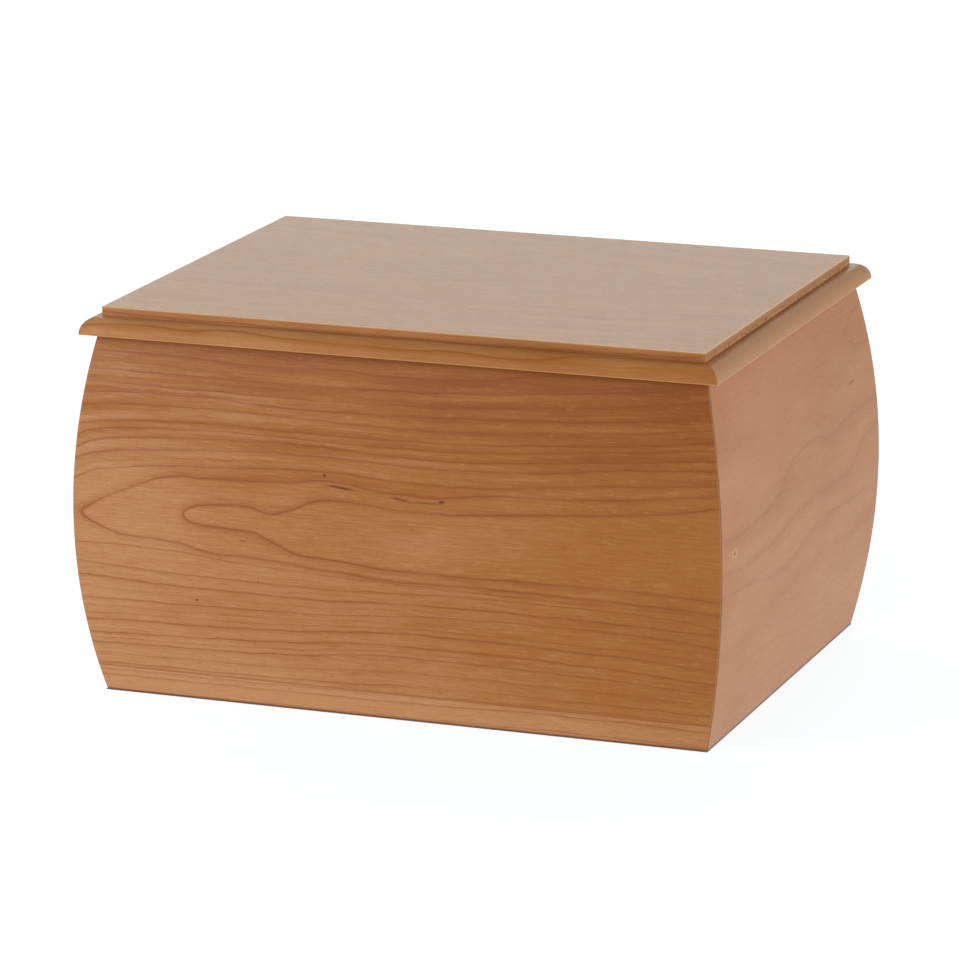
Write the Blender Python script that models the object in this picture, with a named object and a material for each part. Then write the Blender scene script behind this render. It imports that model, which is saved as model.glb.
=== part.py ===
"""Cremation urn box in cherry: four bowed boards mitred at the corners, a panel let into the
underside, and a loose lid whose edge is rounded over under a small square fillet.

Metres, +Z up. The origin is the centre of the foot, X runs along the front and -Y faces the viewer.
"""

import math

import bmesh
import bpy
from mathutils import Vector

MM = 0.001

# Walls. The rim and the foot have the same outline, and each face swells between them.
RIM_LENGTH = 237.5 * MM
RIM_DEPTH = 176.0 * MM
WALL_HEIGHT = 136.7 * MM
BOW = 8.25 * MM
RIM_WALL = 16.75 * MM
BOW_SEGMENTS = 28

# Two pieces that touch stand this far apart, which is the glue line or the film of air between them.
JOINT_GAP = 0.3 * MM

# Bottom panel, in a rebate that opens at the foot and leaves a strip of each board to stand on.
PANEL_THICKNESS = 6.0 * MM
PANEL_RECESS = 1.0 * MM
FOOT_WIDTH = 8.75 * MM

# Lid. Its edge, from the underside up, is a lip, a round-over, a narrow ledge and a square fillet.
LID_OVERHANG = 5.25 * MM
LIP_HEIGHT = 0.3 * MM
ROUND_OVER = 6.2 * MM
LEDGE = 0.6 * MM
FILLET_HEIGHT = 3.3 * MM
ROUND_SEGMENTS = 10

# The lid's underside steps down inside the rim, so that the lid can't slide off.
STEP_DEPTH = 4.0 * MM
STEP_CLEARANCE = 0.75 * MM

# sRGB colours of oiled and lacquered cherry, as (hex, roughness).
FACE_CHERRY = ("B0764C", 0.42)
END_CHERRY = ("BA8C6B", 0.42)
LID_CHERRY = ("B9855C", 0.34)
PANEL_CHERRY = ("A9744C", 0.6)


def clear_scene():
    for old in list(bpy.data.objects):
        bpy.data.objects.remove(old, do_unlink=True)


def linear(channel):
    return channel / 12.92 if channel <= 0.04045 else ((channel + 0.055) / 1.055) ** 2.4


def wood(name, finish):
    """A wood material: the colour of the board under its lacquer, and the lacquer's roughness."""
    hex_colour, roughness = finish
    channels = [int(hex_colour[at : at + 2], 16) / 255 for at in (0, 2, 4)]
    made = bpy.data.materials.new(name)
    made.use_nodes = True
    shader = made.node_tree.nodes["Principled BSDF"]
    shader.inputs["Base Color"].default_value = [*map(linear, channels), 1.0]
    shader.inputs["Roughness"].default_value = roughness
    shader.inputs["Metallic"].default_value = 0.0
    return made


def new_object(name, bm, material):
    """The finished piece as an object, with flat faces flat and the curved ones shaded smooth."""
    bmesh.ops.recalc_face_normals(bm, faces=bm.faces)
    mesh = bpy.data.meshes.new(name)
    bm.to_mesh(mesh)
    bm.free()
    arris_angle = math.radians(20)
    mesh.shade_smooth()
    mesh.set_sharp_from_angle(angle=arris_angle)
    mesh.materials.append(material)
    made = bpy.data.objects.new(name, mesh)
    bpy.context.scene.collection.objects.link(made)
    return made


def bow_arc():
    """(outward, up) along the bowed face from the foot to the rim, an arc of one circle."""
    radius = (WALL_HEIGHT**2 / 4 + BOW**2) / (2 * BOW)
    half_angle = math.asin(WALL_HEIGHT / 2 / radius)
    points = []
    for step in range(BOW_SEGMENTS + 1):
        angle = half_angle * (2 * step / BOW_SEGMENTS - 1)
        outward = radius * math.cos(angle) - (radius - BOW)
        points.append((outward, WALL_HEIGHT / 2 + radius * math.sin(angle)))
    return points


def wall_section():
    """The section of a wall board, (outward from the rim line, up): bowed face, flat back, rebate."""
    rebate_top = PANEL_RECESS + PANEL_THICKNESS + JOINT_GAP
    inside = [(-RIM_WALL, WALL_HEIGHT), (-RIM_WALL, rebate_top)]
    rebate = [(-FOOT_WIDTH, rebate_top), (-FOOT_WIDTH, 0.0)]
    return bow_arc() + inside + rebate


def mitre(bm, side, rim_length):
    """Cuts one end of a board along the corner's diagonal, half a glue line short of it."""
    diagonal = Vector((side, 1.0, 0.0)).normalized()
    corner = Vector((side * rim_length / 2, 0.0, 0.0)) - diagonal * JOINT_GAP / 2
    cut = bmesh.ops.bisect_plane(
        bm,
        geom=bm.verts[:] + bm.edges[:] + bm.faces[:],
        plane_co=corner,
        plane_no=diagonal,
        clear_outer=True,
    )
    rim_edges = [item for item in cut["geom_cut"] if isinstance(item, bmesh.types.BMEdge)]
    bmesh.ops.contextual_create(bm, geom=rim_edges)


def wall_board(name, rim_length, material, place, turn, parent):
    """A moulded board, mitred at both ends. It faces -Y, and its origin is the foot's outer line."""
    bm = bmesh.new()
    belly_corner = rim_length / 2 + BOW
    # Before it is mitred, the board runs on past the belly's corner by the depth of the bow.
    reach = belly_corner + BOW
    ring = [bm.verts.new((-reach, -outward, up)) for outward, up in wall_section()]
    start = bm.faces.new(ring)
    pulled = bmesh.ops.extrude_face_region(bm, geom=[start])["geom"]
    far_end = [item for item in pulled if isinstance(item, bmesh.types.BMVert)]
    bmesh.ops.translate(bm, verts=far_end, vec=(2 * reach, 0.0, 0.0))
    bmesh.ops.recalc_face_normals(bm, faces=bm.faces)
    for side in (-1.0, 1.0):
        mitre(bm, side, rim_length)
    board = new_object(name, bm, material)
    board.parent = parent
    board.location = place
    board.rotation_euler = (0.0, 0.0, turn)
    return board


def stacked_block(outline):
    """A block that is a rectangle at every height. The outline lists (half length, half depth, up)."""
    half_length, half_depth, up = outline[0]
    bm = bmesh.new()
    corners = [(-1, -1), (1, -1), (1, 1), (-1, 1)]
    under = bm.faces.new([bm.verts.new((x * half_length, y * half_depth, up)) for x, y in corners])
    top = under
    for half_length, half_depth, up in outline[1:]:
        raised = bmesh.ops.extrude_face_region(bm, geom=[top])["geom"]
        if top is not under:
            bm.faces.remove(top)
        top = next(item for item in raised if isinstance(item, bmesh.types.BMFace))
        for vert in top.verts:
            vert.co.x = math.copysign(half_length, vert.co.x)
            vert.co.y = math.copysign(half_depth, vert.co.y)
            vert.co.z = up
    return bm


def bottom_panel(material, parent):
    """The panel that closes the box, let into the four boards and kept just clear of the table."""
    inset = FOOT_WIDTH + JOINT_GAP
    half_length = RIM_LENGTH / 2 - inset
    half_depth = RIM_DEPTH / 2 - inset
    outline = [(half_length, half_depth, 0.0), (half_length, half_depth, PANEL_THICKNESS)]
    panel = new_object("bottom_panel", stacked_block(outline), material)
    panel.parent = parent
    panel.location = (0.0, 0.0, PANEL_RECESS)
    return panel


def lid_edge():
    """The moulded edge as (outward from the rim line, up from the lid's seat)."""
    centre = LID_OVERHANG - ROUND_OVER
    edge = [(LID_OVERHANG, 0.0)]
    for step in range(ROUND_SEGMENTS + 1):
        angle = math.radians(90 * step / ROUND_SEGMENTS)
        up = LIP_HEIGHT + ROUND_OVER * math.sin(angle)
        edge.append((centre + ROUND_OVER * math.cos(angle), up))
    shoulder = LIP_HEIGHT + ROUND_OVER
    fillet = centre - LEDGE
    return edge + [(fillet, shoulder), (fillet, shoulder + FILLET_HEIGHT)]


def lid(material, parent):
    """The lid, its origin in the middle of the face that rests on the rim."""
    half = (RIM_LENGTH / 2, RIM_DEPTH / 2)
    step = -RIM_WALL - STEP_CLEARANCE
    section = [(step, -STEP_DEPTH), (step, 0.0)] + lid_edge()
    outline = [(half[0] + outward, half[1] + outward, up) for outward, up in section]
    board = new_object("lid", stacked_block(outline), material)
    board.parent = parent
    board.location = (0.0, 0.0, WALL_HEIGHT + JOINT_GAP)
    return board


def build():
    clear_scene()
    urn = bpy.data.objects.new("urn", None)
    bpy.context.scene.collection.objects.link(urn)
    face = wood("cherry face", FACE_CHERRY)
    end = wood("cherry end", END_CHERRY)
    half_length = RIM_LENGTH / 2
    half_depth = RIM_DEPTH / 2
    quarter = math.radians(90)
    wall_board("front_board", RIM_LENGTH, face, (0.0, -half_depth, 0.0), 0.0, urn)
    wall_board("back_board", RIM_LENGTH, face, (0.0, half_depth, 0.0), 2 * quarter, urn)
    wall_board("right_end_board", RIM_DEPTH, end, (half_length, 0.0, 0.0), quarter, urn)
    wall_board("left_end_board", RIM_DEPTH, end, (-half_length, 0.0, 0.0), -quarter, urn)
    bottom_panel(wood("cherry bottom", PANEL_CHERRY), urn)
    lid(wood("cherry lid", LID_CHERRY), urn)


build()
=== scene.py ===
"""A cremation urn box in lacquered cherry: bowed boards, a moulded lid and a plain white stage."""

import math
from typing import NamedTuple

import bmesh
import bpy
from mathutils import Matrix, Vector


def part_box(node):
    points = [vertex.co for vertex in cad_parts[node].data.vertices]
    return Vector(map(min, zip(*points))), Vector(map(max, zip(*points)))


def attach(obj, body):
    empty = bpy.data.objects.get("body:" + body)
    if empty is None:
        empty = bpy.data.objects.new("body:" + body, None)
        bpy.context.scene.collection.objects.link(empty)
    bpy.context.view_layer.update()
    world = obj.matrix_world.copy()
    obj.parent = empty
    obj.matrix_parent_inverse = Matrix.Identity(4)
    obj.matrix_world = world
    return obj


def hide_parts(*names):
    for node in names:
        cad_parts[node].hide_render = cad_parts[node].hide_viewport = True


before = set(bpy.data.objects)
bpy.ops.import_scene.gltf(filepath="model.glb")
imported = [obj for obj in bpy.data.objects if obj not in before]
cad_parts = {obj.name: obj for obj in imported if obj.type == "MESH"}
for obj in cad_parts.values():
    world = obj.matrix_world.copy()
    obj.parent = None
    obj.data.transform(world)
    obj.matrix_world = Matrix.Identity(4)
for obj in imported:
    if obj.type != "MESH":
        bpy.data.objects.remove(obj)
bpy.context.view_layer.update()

bl_info = {
    "name": "Cherry urn box",
    "version": (1, 0, 0),
    "blender": (4, 5, 0),
    "location": "3D View > Sidebar > Urn box",
    "description": "Makes a cherry urn box with bowed sides and a moulded lid, and a white stage for it",
    "category": "Object",
}

MM = 0.001

FRONT_LOW, FRONT_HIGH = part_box("front_board")
LEFT_LOW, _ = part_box("left_end_board")
LID_LOW, LID_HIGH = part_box("lid")
PANEL_LOW, PANEL_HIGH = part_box("bottom_panel")

# The camera stands where the photograph's did, seen from the middle of the foot.
CAMERA_PLACE = Vector((0.6965, -1.8112, 0.5751))
CAMERA_TURN = math.radians(21.086)
CAMERA_DIP = math.radians(14.608)
CAMERA_ROLL = math.radians(-0.516)
CAMERA_LENS = 198.26

# Name, place, width, height, brightness beside white paper, and colour, of each light in the studio.
STUDIO_LIGHTS = (
    ("softbox, front left", (-0.75, -0.95, 0.4), 0.6, 0.6, 5.0, "FFFFFF"),
    ("lit wall, back left", (-1.1, 2.0, 0.85), 2.4, 1.3, 1.88, "FAFDF4"),
    ("card, right", (1.2, -0.3, 0.45), 0.8, 0.8, 2.8, "FFFFFF"),
)

# The table's white acrylic is lit a little from below, and the room round it is dim.
TABLE_HALF_LENGTH = 6.0
TABLE_DROP = 0.05 * MM
TABLE_GLOW = 0.805
TABLE_WHITE = 0.4
ROOM_BRIGHTNESS = 0.42

# The glue line over the bottom panel, how near two heights are when they are the same, and how near
# a corner is to a cut that goes through it.
PANEL_GAP = 0.3 * MM
NEAR = 0.01 * MM
ON_CUT = 1e-7

# An edge that turns by more than this is an arris, and faces that meet at less are shaded as one.
ARRIS_ANGLE = math.radians(40)
SMOOTH_ANGLE = math.radians(35)

# Half the length of the curves that growth lines are drawn on, in millimetres.
HALF_SPAN = 145.0

# How fast a growth line fades on its outer side, which is the later wood, and on the other side. The
# last, in square millimetres, is how full a loop's line is at its tip, where its sides meet.
SLOW_FADE = 0.7
QUICK_FADE = 1.5
TIP_FULLNESS = 2.0

# Sizes of the wood's patterns in millimetres, along the grain and across it. Real fibres and pores
# are a tenth of a millimetre wide or less, finer than a pixel, and are drawn as coarse as they need to
# be to show. The bands' width is in years of growth.
RIPPLE_SIZE = (14.0, 8.0)
FADE_SIZE = (30.0, 9.0)
FIBRE_SIZE = (14.0, 0.55)
PORE_SIZE = (3.0, 0.3)
FLECK_SIZE = (5.0, 0.7)
PATCH_SIZE = (50.0, 18.0)
BAND_LENGTH = 90.0


def linear(hex_colour):
    """An sRGB hex colour as the linear one that a shader works in."""
    channels = [int(hex_colour[at : at + 2], 16) / 255 for at in (0, 2, 4)]
    return tuple(c / 12.92 if c <= 0.04045 else ((c + 0.055) / 1.055) ** 2.4 for c in channels)


class BoardSizes(bpy.types.PropertyGroup):
    """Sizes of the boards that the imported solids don't give by themselves."""

    bow: bpy.props.FloatProperty(
        name="Bow", description="How far each face swells out at half height", default=8.25 * MM,
        unit="LENGTH",
    )
    foot_width: bpy.props.FloatProperty(
        name="Foot width", description="Width of the strip that stands outside the rebate", default=8.75 * MM,
        unit="LENGTH",
    )
    glue_line: bpy.props.FloatProperty(
        name="Glue line", description="Gap in a tight mitre", default=0.2 * MM, unit="LENGTH"
    )
    corner_easing: bpy.props.FloatProperty(
        name="Corner easing", description="Radius sanded on the corners", default=0.9 * MM, unit="LENGTH"
    )
    arris_easing: bpy.props.FloatProperty(
        name="Arris easing", description="Radius sanded on the rim and the foot", default=0.45 * MM,
        unit="LENGTH",
    )
    rows: bpy.props.IntProperty(name="Rows", description="Rows of faces up the bow", default=36, min=4)


class LidSizes(bpy.types.PropertyGroup):
    """Sizes of the lid's edge, from its seat up."""

    lip: bpy.props.FloatProperty(
        name="Lip", description="Height of the upright lip", default=0.3 * MM, unit="LENGTH"
    )
    round_over: bpy.props.FloatProperty(
        name="Round-over", description="Radius of the round-over", default=6.2 * MM, unit="LENGTH"
    )
    ledge: bpy.props.FloatProperty(
        name="Ledge", description="Flat between the round-over and the fillet", default=0.6 * MM,
        unit="LENGTH",
    )
    step_depth: bpy.props.FloatProperty(
        name="Step", description="Depth of the step that sits inside the rim", default=4.0 * MM, unit="LENGTH"
    )
    step_inset: bpy.props.FloatProperty(
        name="Step inset", description="From the lid's edge in to the step", default=22.75 * MM, unit="LENGTH"
    )
    easing: bpy.props.FloatProperty(
        name="Easing", description="Radius sanded on the arrises", default=0.25 * MM, unit="LENGTH"
    )
    facets: bpy.props.IntProperty(name="Facets", description="Facets round the round-over", default=14, min=3)


class CherryColours(bpy.types.PropertyGroup):
    """What the lacquered wood is made of."""

    pale: bpy.props.FloatVectorProperty(
        name="Pale wood", description="Pinkish tan wood of early growth", subtype="COLOR", size=3,
        default=linear("BA8256"),
    )
    middle: bpy.props.FloatVectorProperty(
        name="Heartwood", description="The boards' own colour", subtype="COLOR", size=3,
        default=linear("A06229"),
    )
    deep: bpy.props.FloatVectorProperty(
        name="Deep wood", description="Bands of late growth", subtype="COLOR", size=3,
        default=linear("8A4A10"),
    )
    line: bpy.props.FloatVectorProperty(
        name="Growth line", description="The line that ends a year's growth", subtype="COLOR", size=3,
        default=linear("854309"),
    )
    gum: bpy.props.FloatVectorProperty(
        name="Gum", description="Gum streaks and pin knots", subtype="COLOR", size=3,
        default=linear("5E2206"),
    )
    bare: bpy.props.FloatVectorProperty(
        name="Bare wood", description="Cream wood where sanding went through the finish", subtype="COLOR",
        size=3, default=linear("E6B47A"),
    )
    end: bpy.props.FloatVectorProperty(
        name="End grain", description="Duller and greyer than the face", subtype="COLOR", size=3,
        default=linear("B08561"),
    )
    sheen: bpy.props.FloatProperty(
        name="Lacquer roughness", description="Satin lacquer, rubbed out", default=0.42, min=0.0, max=1.0,
        subtype="FACTOR",
    )


class UrnSettings(bpy.types.PropertyGroup):
    """Everything about the box that a user would change."""

    boards: bpy.props.PointerProperty(name="Boards", description="Sizes of the boards", type=BoardSizes)
    lid: bpy.props.PointerProperty(name="Lid", description="Sizes of the lid's edge", type=LidSizes)
    cherry: bpy.props.PointerProperty(name="Cherry", description="Colours of the wood", type=CherryColours)


class Line(NamedTuple):
    """A growth line as (along, up) points, with fine years from it to the next line up."""

    points: tuple
    years: int = 3
    weight: float = 1.0


class Loop(NamedTuple):
    """A growth line that turns back on itself, as (along, low side, high side).

    The sides meet at its tip, and they cross past it.
    """

    sides: tuple
    weight: float = 1.0


class Mark(NamedTuple):
    """A gum streak or pin knot, or the pale wood round one."""

    along: float
    up: float
    half_length: float
    half_width: float
    tilt: float = 0.0
    depth: float = 1.0
    colour: str = "gum"


class Grain(NamedTuple):
    """The figure of one board, in millimetres along and up its face.

    axes are the object axes that run along the grain, up the face and through the board. lean is how
    far the rings shift up the face for each millimetre through the board. Inner loops come first.
    softness is how wide the lines are, and the depths are how strongly the drawn lines, the fine
    years between them and the fibres show.
    tones are (up, tone) points, from 0 for the palest wood to 1 for the deepest, tone_along is how
    much deeper the right end is than the middle, and bands are (up, strength) points. pores, flecks
    and rays are how strongly each kind of speck shows, and gloss is the lacquer's specular level.

    joint is the height of a glued joint, and foot_shade the height of the painted shade at the foot.
    shaded is where painted shade under the lid starts, and where it is darkest. rubbed lists
    the heights of arrises that get a painted highlight. arris is half the length and half the depth of
    a flat top face, and its height, where a painted sheen pales the top and a cream line, partly bare
    sanded wood and partly a painted highlight, runs round its arris. torn is the foot and the top of
    the end grain that the cutter tore, and painted light pales the corner at that foot.
    """

    axes: tuple
    seed: float
    lines: tuple
    loops: tuple = ()
    upper_lines: tuple = ()
    lean: float = 0.0
    softness: float = 1.0
    line_depth: float = 0.8
    ring_depth: float = 0.45
    fibre_depth: float = 0.35
    tones: tuple = ((-130, 0.45), (130, 0.45))
    tone_along: float = 0.0
    bands: tuple = ((-130, 0.6), (130, 0.6))
    patches: float = 0.5
    pores: float = 0.22
    flecks: float = 0.15
    rays: float = 0.05
    gloss: float = 0.5
    tint: tuple = (1.0, 1.0, 1.0)
    joint: float = 0.0
    foot_shade: float = 0.0
    shaded: tuple = ()
    rubbed: tuple = ()
    arris: tuple = ()
    torn: tuple = ()
    marks: tuple = ()


FRONT_GRAIN = Grain(
    axes=(0, 2, 1),
    seed=3.0,
    lines=(
        Line(((-127, -2), (127, -1)), 3, 0.3),
        Line(((-124, 6.5), (20, 7.5), (60, 8.5), (124, 6.5)), 2, 0.25),
        Line(((-124, 11.5), (-28, 12.5), (14, 14.5), (124, 14.5)), 2, 0.35),
        Line(((-124, 19.5), (-42, 22), (2, 25.5), (124, 23)), 2, 0.42),
        Line(((-124, 23.5), (-42, 27), (4, 30), (124, 27)), 1, 0.5),
        Line(((-124, 29), (-42, 31.5), (14, 35), (124, 32)), 3, 0.6),
        Line(((-124, 37.5), (-42, 39), (62, 43.5), (124, 41)), 2, 0.3),
        Line(((-124, 46.5), (-42, 45), (28, 47), (124, 46)), 2, 0.5),
        Line(((-124, 52), (-30, 49.5), (42, 51.5), (124, 48.5)), 2, 0.3),
        Line(((-124, 59), (-96, 59), (-56, 56), (0, 54), (124, 53)), 1, 0.3),
    ),
    loops=(
        Loop(((-88, 77, 69), (-82, 73, 73), (-77, 70, 76.5), (-60, 69, 78), (-50, 67, 76.5), (-40, 63, 78),
              (-25, 61, 83), (-12, 60, 83), (8, 59, 81.5), (50, 59.5, 84), (92, 59.5, 87.5),
              (125, 58.5, 92.5))),
        Loop(((-128, 73, 68), (-123, 70.5, 70.5), (-118, 67, 74.5), (-110, 64, 78.5), (-98, 63, 83.5),
              (-85, 62, 87), (-76, 60, 87), (-40, 58, 88.5), (-25, 56.5, 90), (4, 55, 87.5),
              (16, 55, 87.5), (34, 55.5, 89.5), (80, 55, 92), (125, 54, 97))),
    ),
    upper_lines=(
        Line(((-124, 84), (-96, 90), (-60, 92), (-26, 93.5), (14, 92), (80, 97), (124, 100.5)), 2, 0.55),
        Line(((-124, 91.5), (-96, 96), (-20, 99), (14, 98), (98, 104), (124, 106)), 1, 0.55),
        Line(((-124, 95.5), (-90, 101), (-30, 102.5), (14, 101), (70, 104.5), (124, 109.5)), 1, 0.75),
        Line(((-124, 99.5), (-86, 104.5), (14, 104.5), (70, 108), (124, 113.5)), 1, 0.55),
        Line(((-124, 103.5), (-90, 107), (0, 107), (70, 110.5), (124, 116.5)), 2, 0.6),
        Line(((-124, 111), (-76, 113), (0, 111.5), (56, 114), (124, 120.5)), 1, 0.4),
        Line(((-124, 115.5), (-80, 117), (-40, 115.5), (42, 117.5), (124, 125.5)), 2, 0.7),
        Line(((-124, 120), (-10, 119.5), (56, 123), (124, 130.5)), 2, 0.65),
        Line(((-124, 124.5), (-10, 124.5), (70, 129), (124, 136)), 2, 0.8),
        Line(((-124, 130.5), (-90, 131), (-44, 129.5), (-24, 130.5), (4, 129.5), (56, 134),
              (124, 140)), 2, 0.9),
        Line(((-124, 140), (0, 139.5), (124, 149)), 1, 0.5),
    ),
    # The tones deepen towards the rim partly as the wood's own colour and partly as painted shade under the
    # lid.
    tones=((-10, 0.25), (5, 0.25), (30, 0.34), (68, 0.36), (90, 0.42), (110, 0.58), (125, 0.67), (140, 0.86)),
    tone_along=0.28,
    bands=((-10, 0.2), (60, 0.2), (90, 0.6), (140, 0.9)),
    line_depth=0.74,
    ring_depth=0.55,
    patches=0.35,
    rays=0.1,
    gloss=0.35,
    foot_shade=0.6,
    shaded=(133.6, 135.4),
    joint=10.3,
    marks=(
        Mark(-25.8, 92.3, 0.7, 0.6),
        Mark(-19.5, 88.3, 6.2, 0.5, -0.09),
        Mark(4.0, 85.9, 4.5, 0.55, -0.12, 0.8),
        Mark(13.5, 85.4, 7.0, 0.45, 0.04, 0.6),
        Mark(20.0, 86.3, 1.5, 0.6, 0.15),
        Mark(-77.8, 40.3, 0.7, 0.45, 0.6),
        Mark(-52.8, 49.9, 0.35, 0.35),
        Mark(-58.2, 65.0, 2.0, 0.2, -0.08, 0.8),
    ),
)
BACK_GRAIN = Grain(
    axes=(0, 2, 1),
    seed=47.0,
    lines=(
        Line(((-127, -3), (127, 2)), 6, 0.3),
        Line(((-124, 22), (-30, 19), (60, 21), (124, 26)), 5, 0.8),
        Line(((-124, 38), (-40, 33), (50, 35), (124, 44)), 4),
    ),
    loops=(
        Loop(((-124, 57, 79), (-60, 56, 78), (-10, 60, 75), (18, 66, 66), (40, 70, 60))),
        Loop(((-124, 49, 90), (-60, 46, 88), (0, 46, 85), (50, 52, 82), (84, 66, 66), (110, 74, 58))),
    ),
    upper_lines=(
        Line(((-124, 101), (-40, 99), (40, 96), (124, 84)), 4, 0.7),
        Line(((-124, 112), (-20, 113), (70, 108), (124, 99)), 6),
        Line(((-124, 130), (0, 131), (124, 124)), 5),
        Line(((-124, 146), (124, 142)), 1, 0.5),
    ),
    line_depth=0.68,
    foot_shade=0.6,
    shaded=(133.6, 135.4),
    marks=(Mark(38.0, 92.0, 3.0, 0.3, -0.1), Mark(-70.0, 36.0, 0.6, 0.45)),
)
RIGHT_GRAIN = Grain(
    axes=(1, 2, 0),
    seed=91.0,
    lines=(
        Line(((-97, 22), (-40, 26), (20, 20), (97, 28)), 3, 0.15),
        Line(((-96, 60), (-59, 56.7), (-23, 53), (13, 59.2), (51, 58.7), (96, 56)), 1, 0.8),
        Line(((-96, 68), (-45, 65.7), (-17, 68.7), (15, 70.5), (51, 69.9), (75, 78.5), (96, 81)), 2),
        Line(((-96, 82.3), (-77, 79), (-57, 79), (-29, 82.3), (-21, 86.7), (15, 92.5), (33, 88.9), (57, 90.7),
              (96, 91.5)), 2),
    ),
    loops=(Loop(((40, 140, 100), (60, 124, 116), (67, 120, 120), (73, 115.4, 125), (97, 113, 130)), 0.5),),
    softness=2.2,
    line_depth=0.3,
    ring_depth=0.1,
    fibre_depth=0.05,
    tones=((0, 0.32), (137, 0.35)),
    bands=((0, 0.2), (137, 0.2)),
    patches=0.35,
    pores=0.0,
    flecks=0.12,
    rays=0.0,
    tint=(1.03, 0.985, 0.96),
    marks=(
        Mark(-82.0, 73.3, 3.4, 1.9, depth=0.4, colour="bare"),
        Mark(-82.0, 73.3, 1.5, 0.9),
        Mark(64.5, 102.5, 4.6, 0.35, 0.06),
    ),
    foot_shade=0.6,
)
LEFT_GRAIN = RIGHT_GRAIN._replace(
    seed=133.0,
    lines=(
        Line(((-97, 30), (0, 24), (97, 34)), 4, 0.6),
        Line(((-97, 52), (-20, 47), (50, 54), (97, 50)), 3),
        Line(((-97, 84), (-30, 90), (40, 82), (97, 88)), 3),
        Line(((-97, 112), (10, 118), (97, 108)), 3, 0.8),
    ),
    loops=(),
    marks=(Mark(20.0, 62.0, 0.7, 0.5),),
)
LID_GRAIN = Grain(
    axes=(0, 1, 2),
    seed=171.0,
    lines=(
        Line(((-124, -100), (-95, -96), (-80, -97), (-66, -95), (-42, -97), (8, -98), (24, -97), (42, -98.5),
              (62, -96.5), (72, -93.5), (124, -91)), 0),
        Line(((-117, -88), (-60, -89), (82, -89), (117, -87)), 1),
        Line(((-124, -86), (0, -84), (124, -76)), 5),
        Line(((-124, -60), (0, -64), (124, -52)), 5),
        Line(((-124, -30), (-20, -34), (124, -24)), 3),
    ),
    loops=(
        Loop(((-124, -9, 62), (-90, -8.5, 55), (-54, -7, 43), (-30, -5.5, 29), (-10, -2, 19), (4, 2.5, 10),
              (9, 6, 6), (25, 16, -4))),
    ),
    upper_lines=(
        Line(((-124, 68), (0, 52), (60, 30), (124, 20)), 4),
        Line(((-124, 82), (0, 76), (124, 56)), 4),
        Line(((-124, 100), (124, 90)), 2),
    ),
    lean=1.0,
    tones=((-130, 0.6), (-93.2, 0.6), (-92, 0.36), (-88, 0.34), (-86, 0.45), (130, 0.45)),
    line_depth=0.7,
    ring_depth=0.2,
    fibre_depth=0.3,
    tone_along=0.12,
    flecks=0.4,
    tint=(1.1, 1.15, 1.06),
    # The lip's lower arris gets a painted highlight.
    rubbed=(137.0,),
    arris=(117.2, 86.45, 146.8),
    torn=(143.6, 146.0),
)
PANEL_GRAIN = LID_GRAIN._replace(seed=211.0, lean=0.0, tint=(1.0, 1.0, 1.0), rubbed=(), arris=(), torn=())


def node(tree, kind, values=(), **settings):
    """Adds a shader node, sets it, and fills its inputs: a node or socket is linked, a value is set."""
    made = tree.nodes.new("ShaderNode" + kind)
    for key, value in settings.items():
        setattr(made, key, value)
    live = [socket for socket in made.inputs if socket.enabled]
    named = values.items() if isinstance(values, dict) else enumerate(values)
    for key, value in named:
        socket = live[key] if isinstance(key, int) else next(s for s in live if s.name == key)
        if isinstance(value, bpy.types.Node):
            value = next(output for output in value.outputs if output.enabled)
        if isinstance(value, bpy.types.NodeSocket):
            tree.links.new(value, socket)
        else:
            socket.default_value = value
    return made


def graph(tree, place, points):
    """A smooth curve through (place, value) points, read at a place in millimetres."""
    share = node(tree, "MapRange", {"Value": place, "From Min": -HALF_SPAN, "From Max": HALF_SPAN})
    values = [value for _, value in points]
    low, high = min(values) - 1, max(values) + 1
    shape = node(tree, "FloatCurve", {"Value": share})
    line = shape.mapping.curves[0]
    for at, (where, value) in enumerate(points):
        spot = ((where + HALF_SPAN) / (2 * HALF_SPAN), (value - low) / (high - low))
        if at < 2:
            line.points[at].location = spot
        else:
            line.points.new(*spot)
    shape.mapping.update()
    return node(tree, "MapRange", {"Value": shape, "To Min": low, "To Max": high})


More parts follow.
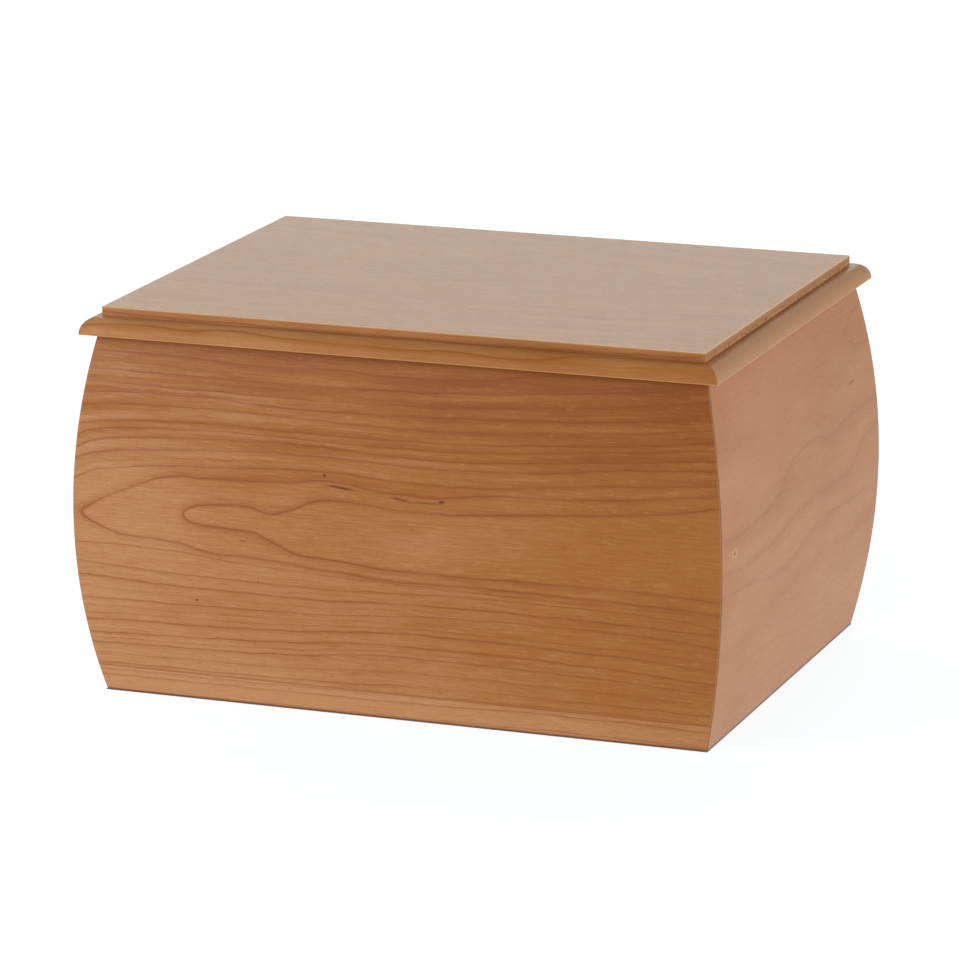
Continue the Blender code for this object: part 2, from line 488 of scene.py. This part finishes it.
def growth(tree, grain, along, up):
    """How far a point is from the nearest drawn line, and how many years up the board it is."""
    lower = [graph(tree, along, line.points) for line in grain.lines]
    upper = [graph(tree, along, line.points) for line in grain.upper_lines]
    gaps = []
    # A line fades slowly on its outer side, which is the later wood, and quickly on the other.
    for levels, lines, outward in ((lower, grain.lines, -1.0), (upper, grain.upper_lines, 1.0)):
        for level, line in zip(levels, lines):
            off = node(tree, "Math", [up, level], operation="SUBTRACT")
            out = node(tree, "Math", [off, SLOW_FADE * outward / line.weight], operation="MULTIPLY")
            back = node(tree, "Math", [off, -QUICK_FADE * outward / line.weight], operation="MULTIPLY")
            gaps.append(node(tree, "Math", [out, back], operation="MAXIMUM"))
    sides = ()
    for loop in grain.loops:
        middles = [(where, (low + high) / 2) for where, low, high in loop.sides]
        halves = [(where, (high - low) / 2) for where, low, high in loop.sides]
        middle = graph(tree, along, middles)
        reach = graph(tree, along, [(where, half * abs(half)) for where, half in halves])
        off = node(tree, "Math", [up, middle], operation="SUBTRACT")
        square = node(tree, "Math", [off, off], operation="MULTIPLY")
        field = node(tree, "Math", [square, reach], operation="SUBTRACT")
        # Divided by half its slope, the field grows twice as fast as the distance from the loop.
        steep = node(tree, "Math", [square, TIP_FULLNESS], operation="ADD")
        steep = node(tree, "Math", [steep, 0.5], operation="POWER")
        off = node(tree, "Math", [field, steep], operation="DIVIDE")
        out = node(tree, "Math", [off, SLOW_FADE / 2 / loop.weight], operation="MULTIPLY")
        back = node(tree, "Math", [off, -QUICK_FADE / 2 / loop.weight], operation="MULTIPLY")
        gaps.append(node(tree, "Math", [out, back], operation="MAXIMUM"))
        half = node(tree, "Math", [reach, 0.0], operation="MAXIMUM")
        half = node(tree, "Math", [half, 0.5], operation="POWER")
        sides = (node(tree, "Math", [middle, half], operation="SUBTRACT"),
                 node(tree, "Math", [middle, half], operation="ADD"))
    gap = gaps[0]
    for other in gaps[1:]:
        gap = node(tree, "Math", [gap, other], operation="MINIMUM")

    # Nothing but fibre shows inside the widest loop, so no years are counted across it.
    levels = [*lower, *sides, *upper]
    years = [line.years for line in grain.lines] + [0] * bool(sides) + [1] * bool(sides)
    years += [line.years for line in grain.upper_lines]
    age = 0.0
    for low, high, count in zip(levels, levels[1:], years):
        if count:
            step = node(tree, "MapRange", {"Value": up, "From Min": low, "From Max": high,
                                           "To Max": count})
            age = node(tree, "Math", [step, age], operation="ADD")
    return gap, age


def repeats(size):
    """Factors that draw a pattern this long along the grain and this wide across it."""
    long, wide = size
    return 1 / long, 1 / wide, 1 / wide


def cherry(name, grain, colours):
    """Planed and sanded black cherry under satin lacquer.

    Years of growth end in soft lines of a deeper orange-brown. The wood between them drifts from
    pinkish tan to brown, with fibres and pores streaked along the grain. The lacquer gives a broad
    soft sheen that pales the wood where it is seen from low down.
    """
    made = bpy.data.materials.new(name)
    made.use_nodes = True
    tree = made.node_tree
    shader = tree.nodes["Principled BSDF"]

    place = node(tree, "TexCoord").outputs["Object"]
    in_mm = node(tree, "VectorMath", {"Vector": place, "Scale": 1 / MM}, operation="SCALE")
    axes = node(tree, "SeparateXYZ", {0: in_mm}).outputs
    along, up, through = (axes[axis] for axis in grain.axes)
    turned = node(tree, "CombineXYZ", [along, up, through])
    board = node(tree, "VectorMath", [turned, (grain.seed * 7, grain.seed * 3, grain.seed)], operation="ADD")

    # Growth lines waver by a fraction of a millimetre over a finger's width.
    narrow = node(tree, "VectorMath", [board, repeats(RIPPLE_SIZE)], operation="MULTIPLY")
    ripple = node(tree, "TexNoise", {"Vector": narrow, "Scale": 1.0, "Detail": 2.0})
    ripple = node(tree, "MapRange", {"Value": ripple, "To Min": -0.6, "To Max": 0.6})
    bent = node(tree, "Math", [up, ripple], operation="ADD")
    bent = node(tree, "Math", [through, grain.lean, bent], operation="MULTIPLY_ADD")
    if grain.lean:
        bent = node(tree, "Math", [bent, grain.lean * LID_HIGH.z / MM], operation="SUBTRACT")
    gap, age = growth(tree, grain, along, bent)

    # Drawn lines come and go a little along the board.
    long = node(tree, "VectorMath", [board, repeats(FADE_SIZE)], operation="MULTIPLY")
    fade = node(tree, "TexNoise", {"Vector": long, "Scale": 1.0, "Detail": 1.0})
    fade = node(tree, "MapRange", {"Value": fade, "From Min": 0.3, "From Max": 0.55, "To Min": 0.55,
                                   "To Max": 1.0})
    core = node(tree, "MapRange", {"Value": gap, "From Min": 0.1 * grain.softness,
                                   "From Max": 0.75 * grain.softness, "To Min": 1.0, "To Max": 0.0},
                interpolation_type="SMOOTHSTEP")
    halo = node(tree, "MapRange", {"Value": gap, "From Min": 0.2, "From Max": 2.2 * grain.softness,
                                   "To Min": 0.38, "To Max": 0.0}, interpolation_type="SMOOTHSTEP")
    line = node(tree, "Math", [core, halo], operation="MAXIMUM")
    line = node(tree, "Math", [line, fade], operation="MULTIPLY")
    line = node(tree, "Math", [line, grain.line_depth], operation="MULTIPLY")

    # The fine years between them darken towards their end, some more than others.
    year = node(tree, "Math", [age], operation="FLOOR")
    season = node(tree, "Math", [age], operation="FRACT")
    draw = node(tree, "Math", [year, grain.seed], operation="ADD")
    chance = node(tree, "TexWhiteNoise", {"W": draw}, noise_dimensions="1D")
    ring = node(tree, "Math", [season, 4.0], operation="POWER")
    ring = node(tree, "Math", [ring, chance], operation="MULTIPLY")
    ring = node(tree, "Math", [ring, grain.ring_depth], operation="MULTIPLY")
    line = node(tree, "Math", [line, ring], operation="MAXIMUM")

    # Fibres and pores run along the grain.
    flow = node(tree, "CombineXYZ", [along, bent, through])
    fine = node(tree, "VectorMath", [flow, repeats(FIBRE_SIZE)], operation="MULTIPLY")
    fibre = node(tree, "TexNoise", {"Vector": fine, "Scale": 1.0, "Detail": 3.0, "Roughness": 0.6})
    short = node(tree, "VectorMath", [flow, repeats(PORE_SIZE)], operation="MULTIPLY")
    pore = node(tree, "TexNoise", {"Vector": short, "Scale": 1.0, "Detail": 0.0})
    pore = node(tree, "MapRange", {"Value": pore, "From Min": 0.62, "From Max": 0.74},
                interpolation_type="SMOOTHSTEP")

    # Dark flecks a few millimetres long lie here and there, and pale ray flecks between them.
    sparse = node(tree, "VectorMath", [flow, repeats(FLECK_SIZE)], operation="MULTIPLY")
    sparse = node(tree, "TexNoise", {"Vector": sparse, "Scale": 1.0, "Detail": 1.0})
    fleck = node(tree, "MapRange", {"Value": sparse, "From Min": 0.68, "From Max": 0.76,
                                    "To Max": grain.flecks}, interpolation_type="SMOOTHSTEP")
    ray = node(tree, "MapRange", {"Value": sparse, "From Min": 0.38, "From Max": 0.28,
                                  "To Max": grain.rays})

    # Tone: broad patches, bands that follow the years, and a fall from end to end that is partly the
    # board's own and partly painted shade, deeper towards the right, away from the softbox at front left.
    patch = node(tree, "VectorMath", [board, repeats(PATCH_SIZE)], operation="MULTIPLY")
    patch = node(tree, "TexNoise", {"Vector": patch, "Scale": 1.0, "Detail": 2.0})
    band = node(tree, "Math", [age, 0.8, grain.seed], operation="MULTIPLY_ADD")
    length = node(tree, "Math", [along, 1 / BAND_LENGTH], operation="MULTIPLY")
    band = node(tree, "CombineXYZ", [length, band, 0.0])
    band = node(tree, "TexNoise", {"Vector": band, "Scale": 1.0, "Detail": 1.0}, noise_dimensions="2D")
    tone = graph(tree, up, grain.tones)
    shares = (patch, grain.patches), (band, graph(tree, up, grain.bands)), (fibre, grain.fibre_depth * 2)
    for source, share in shares:
        drift = node(tree, "Math", [source, 0.5], operation="SUBTRACT")
        tone = node(tree, "Math", [drift, share, tone], operation="MULTIPLY_ADD")
    tone = node(tree, "Math", [along, grain.tone_along / HALF_SPAN, tone], operation="MULTIPLY_ADD")

    if grain.joint:
        # The board is glued up, and its lowest strip is paler wood with a fine line above it.
        strip = node(tree, "MapRange", {"Value": up, "From Min": grain.joint - 0.15,
                                        "From Max": grain.joint + 0.15, "To Min": -0.22, "To Max": 0.0})
        tone = node(tree, "Math", [tone, strip], operation="ADD")
        glue = node(tree, "Math", [up, grain.joint], operation="SUBTRACT")
        glue = node(tree, "Math", [glue], operation="ABSOLUTE")
        glue = node(tree, "MapRange", {"Value": glue, "From Min": 0.1, "From Max": 0.6, "To Min": 0.55,
                                       "To Max": 0.0})
        line = node(tree, "Math", [line, glue], operation="MAXIMUM")

    ramp = node(tree, "ValToRGB", {"Fac": tone})
    ramp.color_ramp.elements[0].color = (*colours.pale, 1.0)
    ramp.color_ramp.elements[1].color = (*colours.deep, 1.0)
    ramp.color_ramp.elements.new(0.5).color = (*colours.middle, 1.0)
    pitted = node(tree, "Math", [pore, grain.pores], operation="MULTIPLY")
    specks = (ray, colours.bare), (line, colours.line), (pitted, colours.line), (fleck, colours.line)
    colour = ramp
    for share, wood in specks:
        colour = node(tree, "Mix", {"Factor": share, "A": colour, "B": (*wood, 1.0)}, data_type="RGBA")
        colour = colour.outputs[2]

    colour = node(tree, "Mix", {"Factor": 1.0, "A": colour, "B": (*grain.tint, 1.0)}, data_type="RGBA",
                  blend_type="MULTIPLY").outputs[2]
    normal = node(tree, "SeparateXYZ", {0: node(tree, "NewGeometry").outputs["Normal"]}).outputs

    # End grain drinks the finish, so it is duller and greyer than the face, and its paler colour is
    # partly a painted sheen for the light that the ends catch.
    ends = node(tree, "Math", [normal[grain.axes[0]], normal[grain.axes[0]]], operation="MULTIPLY")
    ends = node(tree, "MapRange", {"Value": ends, "From Min": 0.02, "From Max": 0.3})
    layers = [(node(tree, "Math", [ends, 0.92], operation="MULTIPLY"), colours.end)]

    if grain.torn:
        # Painted light pales the end grain in the corner at the foot of the fillet, lifting the shade
        # there. Above it, the cutter tore short dark pits in the end grain.
        low, high = grain.torn
        deep = node(tree, "Math", [through, low], operation="SUBTRACT")
        deep = node(tree, "Math", [deep], operation="ABSOLUTE")
        deep = node(tree, "MapRange", {"Value": deep, "From Min": 0.2, "From Max": 1.4, "To Min": 0.35,
                                       "To Max": 0.0})
        deep = node(tree, "Math", [deep, ends], operation="MULTIPLY")
        torn = node(tree, "VectorMath", [turned, (1.0, 1 / 2.2, 1 / 0.9)], operation="MULTIPLY")
        torn = node(tree, "TexNoise", {"Vector": torn, "Scale": 1.0, "Detail": 1.0})
        torn = node(tree, "MapRange", {"Value": torn, "From Min": 0.5, "From Max": 0.66, "To Max": 0.6})
        inside = node(tree, "MapRange", {"Value": through, "From Min": high, "From Max": low + 0.6})
        above = node(tree, "Math", [through, low], operation="GREATER_THAN")
        for share in (inside, above, ends):
            torn = node(tree, "Math", [torn, share], operation="MULTIPLY")
        brown = node(tree, "Math", [above, ends], operation="MULTIPLY")
        brown = node(tree, "Math", [brown, 0.4], operation="MULTIPLY")
        layers += [(brown, colours.middle), (deep, colours.bare), (torn, colours.gum)]

    if grain.foot_shade:
        # Painted shade darkens the lowest millimetre of the wall, where the eased foot meets the table,
        # and the faces that look straight down get little of it.
        painted_shade = node(tree, "MapRange", {"Value": up, "From Min": 0.3, "From Max": grain.foot_shade + 0.3,
                                       "To Min": 0.8, "To Max": 0.0})
        outside = node(tree, "MapRange", {"Value": normal[2], "From Min": -0.95, "From Max": -0.6,
                                          "To Min": 0.1})
        layers.append((node(tree, "Math", [painted_shade, outside], operation="MULTIPLY"), colours.gum))

    if grain.shaded:
        # Painted shade darkens the top of the wall under the lid's overhang.
        low, high = grain.shaded
        dark = node(tree, "MapRange", {"Value": up, "From Min": low, "From Max": high, "To Max": 0.75},
                    interpolation_type="SMOOTHSTEP")
        layers.append((dark, colours.line))

    for height in grain.rubbed:
        # A painted highlight in bare-wood cream runs along the arris at each listed height.
        off = node(tree, "Math", [through, height], operation="SUBTRACT")
        off = node(tree, "Math", [off], operation="ABSOLUTE")
        highlight = node(tree, "MapRange", {"Value": off, "From Min": 0.2, "From Max": 0.6, "To Min": 0.28,
                                       "To Max": 0.0})
        layers.append((highlight, colours.bare))

    if grain.arris:
        # A painted sheen pales the flat top, and a cream line round its arris is partly bare sanded wood
        # and partly a painted highlight.
        half_length, half_depth, height = grain.arris
        top = node(tree, "MapRange", {"Value": through, "From Min": height - 0.5, "From Max": height - 0.2})
        pale = node(tree, "Math", [top, 0.55], operation="MULTIPLY")
        past = []
        for way, half in ((along, half_length), (up, half_depth)):
            span = node(tree, "Math", [way], operation="ABSOLUTE")
            past.append(node(tree, "Math", [span, half], operation="SUBTRACT"))
        edge = node(tree, "Math", past, operation="MAXIMUM")
        edge = node(tree, "MapRange", {"Value": edge, "From Min": -0.9, "From Max": -0.3, "To Max": 0.4})
        edge = node(tree, "Math", [edge, top], operation="MULTIPLY")
        layers += [(pale, colours.pale), (edge, colours.bare)]

    for mark in grain.marks:
        # A mark runs right through the board, so it has no end that way.
        size = (mark.half_length, mark.half_width, 1000.0)
        spot = node(tree, "Mapping", {"Vector": turned, "Location": (mark.along, mark.up, 0.0),
                                      "Rotation": (0.0, 0.0, mark.tilt), "Scale": size},
                    vector_type="TEXTURE")
        spot = node(tree, "VectorMath", {"Vector": spot}, operation="LENGTH").outputs["Value"]
        spot = node(tree, "MapRange", {"Value": spot, "From Min": 0.4, "From Max": 1.3,
                                       "To Min": 0.85 * mark.depth, "To Max": 0.0},
                    interpolation_type="SMOOTHSTEP")
        layers.append((spot, getattr(colours, mark.colour)))

    for share, wood in layers:
        colour = node(tree, "Mix", {"Factor": share, "A": colour, "B": (*wood, 1.0)}, data_type="RGBA")
        colour = colour.outputs[2]

    rough = node(tree, "MapRange", {"Value": fibre, "To Min": colours.sheen - 0.08,
                                    "To Max": colours.sheen + 0.08})
    rough = node(tree, "Math", [pore, 0.12, rough], operation="MULTIPLY_ADD")
    rough = node(tree, "Math", [ends, 0.3, rough], operation="MULTIPLY_ADD")
    sunk = node(tree, "Math", [pore, -1.0, fibre], operation="MULTIPLY_ADD")
    bump = node(tree, "Bump", {"Height": sunk, "Strength": 0.15 * grain.fibre_depth, "Distance": 0.1 * MM})
    tree.links.new(colour, shader.inputs["Base Color"])
    tree.links.new(rough.outputs[0], shader.inputs["Roughness"])
    tree.links.new(bump.outputs[0], shader.inputs["Normal"])
    shader.inputs["IOR"].default_value = 1.4
    shader.inputs["Specular IOR Level"].default_value = grain.gloss
    return made


def raised(bm, face, keep=False):
    """Extrudes one face and returns the new one, without the old unless it closes the underside."""
    grown = bmesh.ops.extrude_face_region(bm, geom=[face])["geom"]
    if not keep:
        bm.faces.remove(face)
    return next(item for item in grown if isinstance(item, bmesh.types.BMFace))


def fit(face, half_length, half_depth, height):
    """Makes a level face this big, centred, at this height."""
    for vert in face.verts:
        vert.co.x = math.copysign(half_length, vert.co.x)
        vert.co.y = math.copysign(half_depth, vert.co.y)
        vert.co.z = height


def stack(rows):
    """A block with four sides that is (half length, half depth, height) at each row, and its top."""
    bm = bmesh.new()
    bmesh.ops.create_grid(bm, x_segments=1, y_segments=1, size=1.0)
    bm.faces.ensure_lookup_table()
    under = bm.faces[0]
    fit(under, *rows[0])
    top = under
    for row in rows[1:]:
        top = raised(bm, top, keep=top is under)
        fit(top, *row)
    return bm, under, top


def ease(bm, edges, radius, segments):
    """Sands an arris to a small radius."""
    bmesh.ops.bevel(
        bm, geom=edges, offset=radius, offset_type="OFFSET", affect="EDGES", segments=segments, profile=0.5,
        material=-1, clamp_overlap=True, loop_slide=True,
    )


def finished(name, bm, material, slot, *nodes):
    """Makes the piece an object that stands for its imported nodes."""
    bmesh.ops.recalc_face_normals(bm, faces=bm.faces)
    mesh = bpy.data.meshes.new(name)
    bm.to_mesh(mesh)
    bm.free()
    mesh.shade_smooth()
    mesh.set_sharp_from_angle(angle=SMOOTH_ANGLE)
    mesh.materials.append(material)
    piece = bpy.data.objects.new(name, mesh)
    bpy.context.scene.collection.objects.link(piece)
    # Wide flat faces keep their own normals beside the sanded arrises.
    piece.modifiers.new("flat faces stay flat", "WEIGHTED_NORMAL").keep_sharp = True
    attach(piece, "root")
    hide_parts(*nodes)


def carcass(sizes):
    """The four walls as one hollow block, before it is parted at the mitres."""
    height = FRONT_HIGH.z
    half_length = -LEFT_LOW.x - sizes.bow
    half_depth = -FRONT_LOW.y - sizes.bow
    wall = half_depth + FRONT_HIGH.y
    rebate = PANEL_HIGH.z + PANEL_GAP
    radius = (height**2 / 4 + sizes.bow**2) / (2 * sizes.bow)
    rows = []
    for step in range(sizes.rows + 1):
        up = height * step / sizes.rows
        swell = math.sqrt(radius**2 - (up - height / 2) ** 2) - (radius - sizes.bow)
        rows.append((half_length + swell, half_depth + swell, up))
    bm, under, top = stack(rows)
    corners = [edge for edge in bm.edges if abs(edge.verts[0].co.z - edge.verts[1].co.z) > MM]
    outline = [*top.edges, *under.edges]
    bmesh.ops.inset_region(bm, faces=[top], thickness=wall, use_even_offset=True)
    floor = raised(bm, top)
    fit(floor, half_length - wall, half_depth - wall, rebate)
    bmesh.ops.inset_region(bm, faces=[under], thickness=sizes.foot_width, use_even_offset=True)
    ceiling = raised(bm, under)
    fit(ceiling, half_length - sizes.foot_width, half_depth - sizes.foot_width, rebate)
    rims = [*floor.edges, *ceiling.edges]
    bmesh.ops.delete(bm, geom=[floor, ceiling], context="FACES_ONLY")
    bmesh.ops.bridge_loops(bm, edges=rims)
    ease(bm, corners, sizes.corner_easing, 4)
    level = [
        edge
        for edge in bm.edges
        if any(all(abs(vert.co.z - up) < NEAR for vert in edge.verts) for up in (0.0, height))
    ]
    arrises = [edge for edge in level if edge.is_manifold and edge.calc_face_angle() > ARRIS_ANGLE]
    ease(bm, arrises, sizes.arris_easing, 3)
    return bm, half_length, half_depth


def wall_board(name, board, facing, material, slot, sizes):
    """Makes one wall, cut from the carcass at its mitres. facing is the way that its bow looks."""
    bm, half_length, half_depth = carcass(sizes)
    for side in (-1.0, 1.0):
        across = Vector((-facing.y, facing.x, 0.0)) * side
        corner = Vector(((facing + across).x * half_length, (facing + across).y * half_depth, 0.0))
        diagonal = (across - facing).normalized()
        cut = bmesh.ops.bisect_plane(
            bm, geom=bm.verts[:] + bm.edges[:] + bm.faces[:], dist=ON_CUT,
            plane_co=corner - diagonal * sizes.glue_line / 2, plane_no=diagonal, clear_outer=True,
        )
        edges = [item for item in cut["geom_cut"] if isinstance(item, bmesh.types.BMEdge)]
        bmesh.ops.contextual_create(bm, geom=edges)
    finished(name, bm, material, slot, board)


class URN_OT_walls(bpy.types.Operator):
    """Makes the four bowed and mitred boards"""

    bl_idname = "urn.walls"
    bl_label = "Wall boards"

    def execute(self, context):
        urn = context.scene.urn
        walls = (
            ("front_wall", "front_board", Vector((0, -1, 0)), FRONT_GRAIN, "long_boards"),
            ("back_wall", "back_board", Vector((0, 1, 0)), BACK_GRAIN, "long_boards"),
            ("right_end_wall", "right_end_board", Vector((1, 0, 0)), RIGHT_GRAIN, "end_boards"),
            ("left_end_wall", "left_end_board", Vector((-1, 0, 0)), LEFT_GRAIN, "end_boards"),
        )
        for name, board, facing, grain, slot in walls:
            material = cherry("lacquered cherry, " + board.replace("_", " "), grain, urn.cherry)
            wall_board(name, board, facing, material, slot, urn.boards)
        return {"FINISHED"}


class URN_OT_bottom(bpy.types.Operator):
    """Makes the panel that closes the underside"""

    bl_idname = "urn.bottom"
    bl_label = "Bottom panel"

    def execute(self, context):
        urn = context.scene.urn
        bm = bmesh.new()
        bmesh.ops.create_cube(bm, size=1.0)
        size = PANEL_HIGH - PANEL_LOW
        bmesh.ops.scale(bm, vec=size, verts=bm.verts)
        bmesh.ops.translate(bm, vec=(PANEL_HIGH + PANEL_LOW) / 2, verts=bm.verts)
        ease(bm, bm.edges[:], urn.boards.arris_easing, 2)
        material = cherry("cherry bottom panel", PANEL_GRAIN, urn.cherry)
        finished("bottom", bm, material, "bottom_panel", "bottom_panel")
        return {"FINISHED"}


class URN_OT_lid(bpy.types.Operator):
    """Makes the lid, moulded round its edge"""

    bl_idname = "urn.lid"
    bl_label = "Lid"

    def execute(self, context):
        urn = context.scene.urn
        sizes = urn.lid
        half = LID_HIGH.xy
        seat = LID_LOW.z + sizes.step_depth
        shoulder = seat + sizes.lip + sizes.round_over
        profile = [(sizes.step_inset, LID_LOW.z), (sizes.step_inset, seat), (0.0, seat)]
        for step in range(sizes.facets + 1):
            angle = math.radians(90 * step / sizes.facets)
            inset = sizes.round_over * (1 - math.cos(angle))
            profile.append((inset, seat + sizes.lip + sizes.round_over * math.sin(angle)))
        fillet = sizes.round_over + sizes.ledge
        profile += [(fillet, shoulder), (fillet, LID_HIGH.z)]
        bm, _, _ = stack([(half.x - inset, half.y - inset, up) for inset, up in profile])
        for outward in (True, False):
            sharp = [edge for edge in bm.edges if edge.calc_face_angle() > ARRIS_ANGLE]
            ease(bm, [edge for edge in sharp if edge.is_convex is outward], sizes.easing, 3)
        material = cherry("lacquered cherry, lid", LID_GRAIN, urn.cherry)
        finished("moulded_lid", bm, material, "lid", "lid")
        return {"FINISHED"}


class URN_OT_stage(bpy.types.Operator):
    """Makes the white floor, the light and the camera"""

    bl_idname = "urn.stage"
    bl_label = "Stage"

    def execute(self, context):
        scene = context.scene
        scene.view_settings.view_transform = "Standard"
        bm = bmesh.new()
        bmesh.ops.create_grid(bm, x_segments=1, y_segments=1, size=TABLE_HALF_LENGTH)
        bmesh.ops.translate(bm, vec=(0.0, 0.0, -TABLE_DROP), verts=bm.verts)
        mesh = bpy.data.meshes.new("light table")
        bm.to_mesh(mesh)
        bm.free()
        # White acrylic lit a little from below, so that shadows on it are faint.
        white = bpy.data.materials.new("white acrylic table")
        white.use_nodes = True
        tree = white.node_tree
        shader = tree.nodes["Principled BSDF"]
        shader.inputs["Roughness"].default_value = 0.9
        shader.inputs["Emission Color"].default_value = (*linear("F3FCFF"), 1.0)
        # Painted shadow: the table's glow and white are cut down in a thin band round the foot, a little
        # wider at the front.
        boards = scene.urn.boards
        foot = Vector((-LEFT_LOW.x - boards.bow, -FRONT_LOW.y - boards.bow, 0.0))
        place = node(tree, "TexCoord").outputs["Object"]
        place = node(tree, "VectorMath", [place, (-0.1 * MM, -0.2 * MM, 0.0)], operation="SUBTRACT")
        place = node(tree, "VectorMath", [place], operation="ABSOLUTE")
        place = node(tree, "VectorMath", [place, foot], operation="SUBTRACT")
        axes = node(tree, "SeparateXYZ", {0: place}).outputs
        gap = node(tree, "Math", [axes[0], axes[1]], operation="MAXIMUM")
        lit = node(tree, "MapRange", {"Value": gap, "From Min": 0.0, "From Max": 0.5 * MM, "To Min": 0.15},
                   interpolation_type="SMOOTHSTEP")
        for name, strength in (("Emission Strength", TABLE_GLOW), ("Base Color", TABLE_WHITE)):
            share = node(tree, "Math", [lit, strength], operation="MULTIPLY")
            tree.links.new(share.outputs[0], shader.inputs[name])
        mesh.materials.append(white)
        floor = bpy.data.objects.new("light_table", mesh)
        scene.collection.objects.link(floor)

        world = bpy.data.worlds.new("dim studio")
        scene.world = world
        world.use_nodes = True
        room = world.node_tree.nodes["Background"]
        room.inputs["Color"].default_value = (1.0, 1.0, 1.0, 1.0)
        room.inputs["Strength"].default_value = ROOM_BRIGHTNESS

        box_middle = Vector((0.0, 0.0, 0.07))
        for name, place, width, height, radiance, hue in STUDIO_LIGHTS:
            lamp = bpy.data.lights.new(name, "AREA")
            lamp.shape = "RECTANGLE"
            lamp.size = width
            lamp.size_y = height
            lamp.color = linear(hue)
            lamp.energy = radiance * math.pi * width * height
            light = bpy.data.objects.new(name, lamp)
            light.location = place
            light.rotation_euler = (box_middle - Vector(place)).to_track_quat("-Z", "Y").to_euler()
            scene.collection.objects.link(light)

        camera = bpy.data.cameras.new("camera")
        camera.lens = CAMERA_LENS
        camera.sensor_width = 36.0
        camera.clip_start = 0.1
        held = bpy.data.objects.new("camera", camera)
        turned = Matrix.Rotation(CAMERA_TURN, 4, "Z")
        dipped = turned @ Matrix.Rotation(math.radians(90) - CAMERA_DIP, 4, "X")
        rolled = dipped @ Matrix.Rotation(CAMERA_ROLL, 4, "Z")
        held.matrix_world = Matrix.Translation(CAMERA_PLACE) @ rolled
        scene.collection.objects.link(held)
        scene.camera = held
        return {"FINISHED"}


class URN_PT_panel(bpy.types.Panel):
    """The urn box's pieces and sizes in the 3D view's sidebar"""

    bl_label = "Urn box"
    bl_idname = "URN_PT_panel"
    bl_space_type = "VIEW_3D"
    bl_region_type = "UI"
    bl_category = "Urn box"

    def draw(self, context):
        urn = context.scene.urn
        for group in (urn.boards, urn.lid, urn.cherry):
            box = self.layout.box()
            for name in group.__annotations__:
                box.prop(group, name)
        for operator in (URN_OT_walls, URN_OT_bottom, URN_OT_lid, URN_OT_stage):
            self.layout.operator(operator.bl_idname)


CLASSES = (
    BoardSizes,
    LidSizes,
    CherryColours,
    UrnSettings,
    URN_OT_walls,
    URN_OT_bottom,
    URN_OT_lid,
    URN_OT_stage,
    URN_PT_panel,
)


def register():
    for kind in CLASSES:
        bpy.utils.register_class(kind)
    bpy.types.Scene.urn = bpy.props.PointerProperty(type=UrnSettings)


def unregister():
    del bpy.types.Scene.urn
    for kind in reversed(CLASSES):
        bpy.utils.unregister_class(kind)


def main():
    register()
    bpy.ops.urn.walls()
    bpy.ops.urn.bottom()
    bpy.ops.urn.lid()
    bpy.ops.urn.stage()


if __name__ == "__main__":
    main()
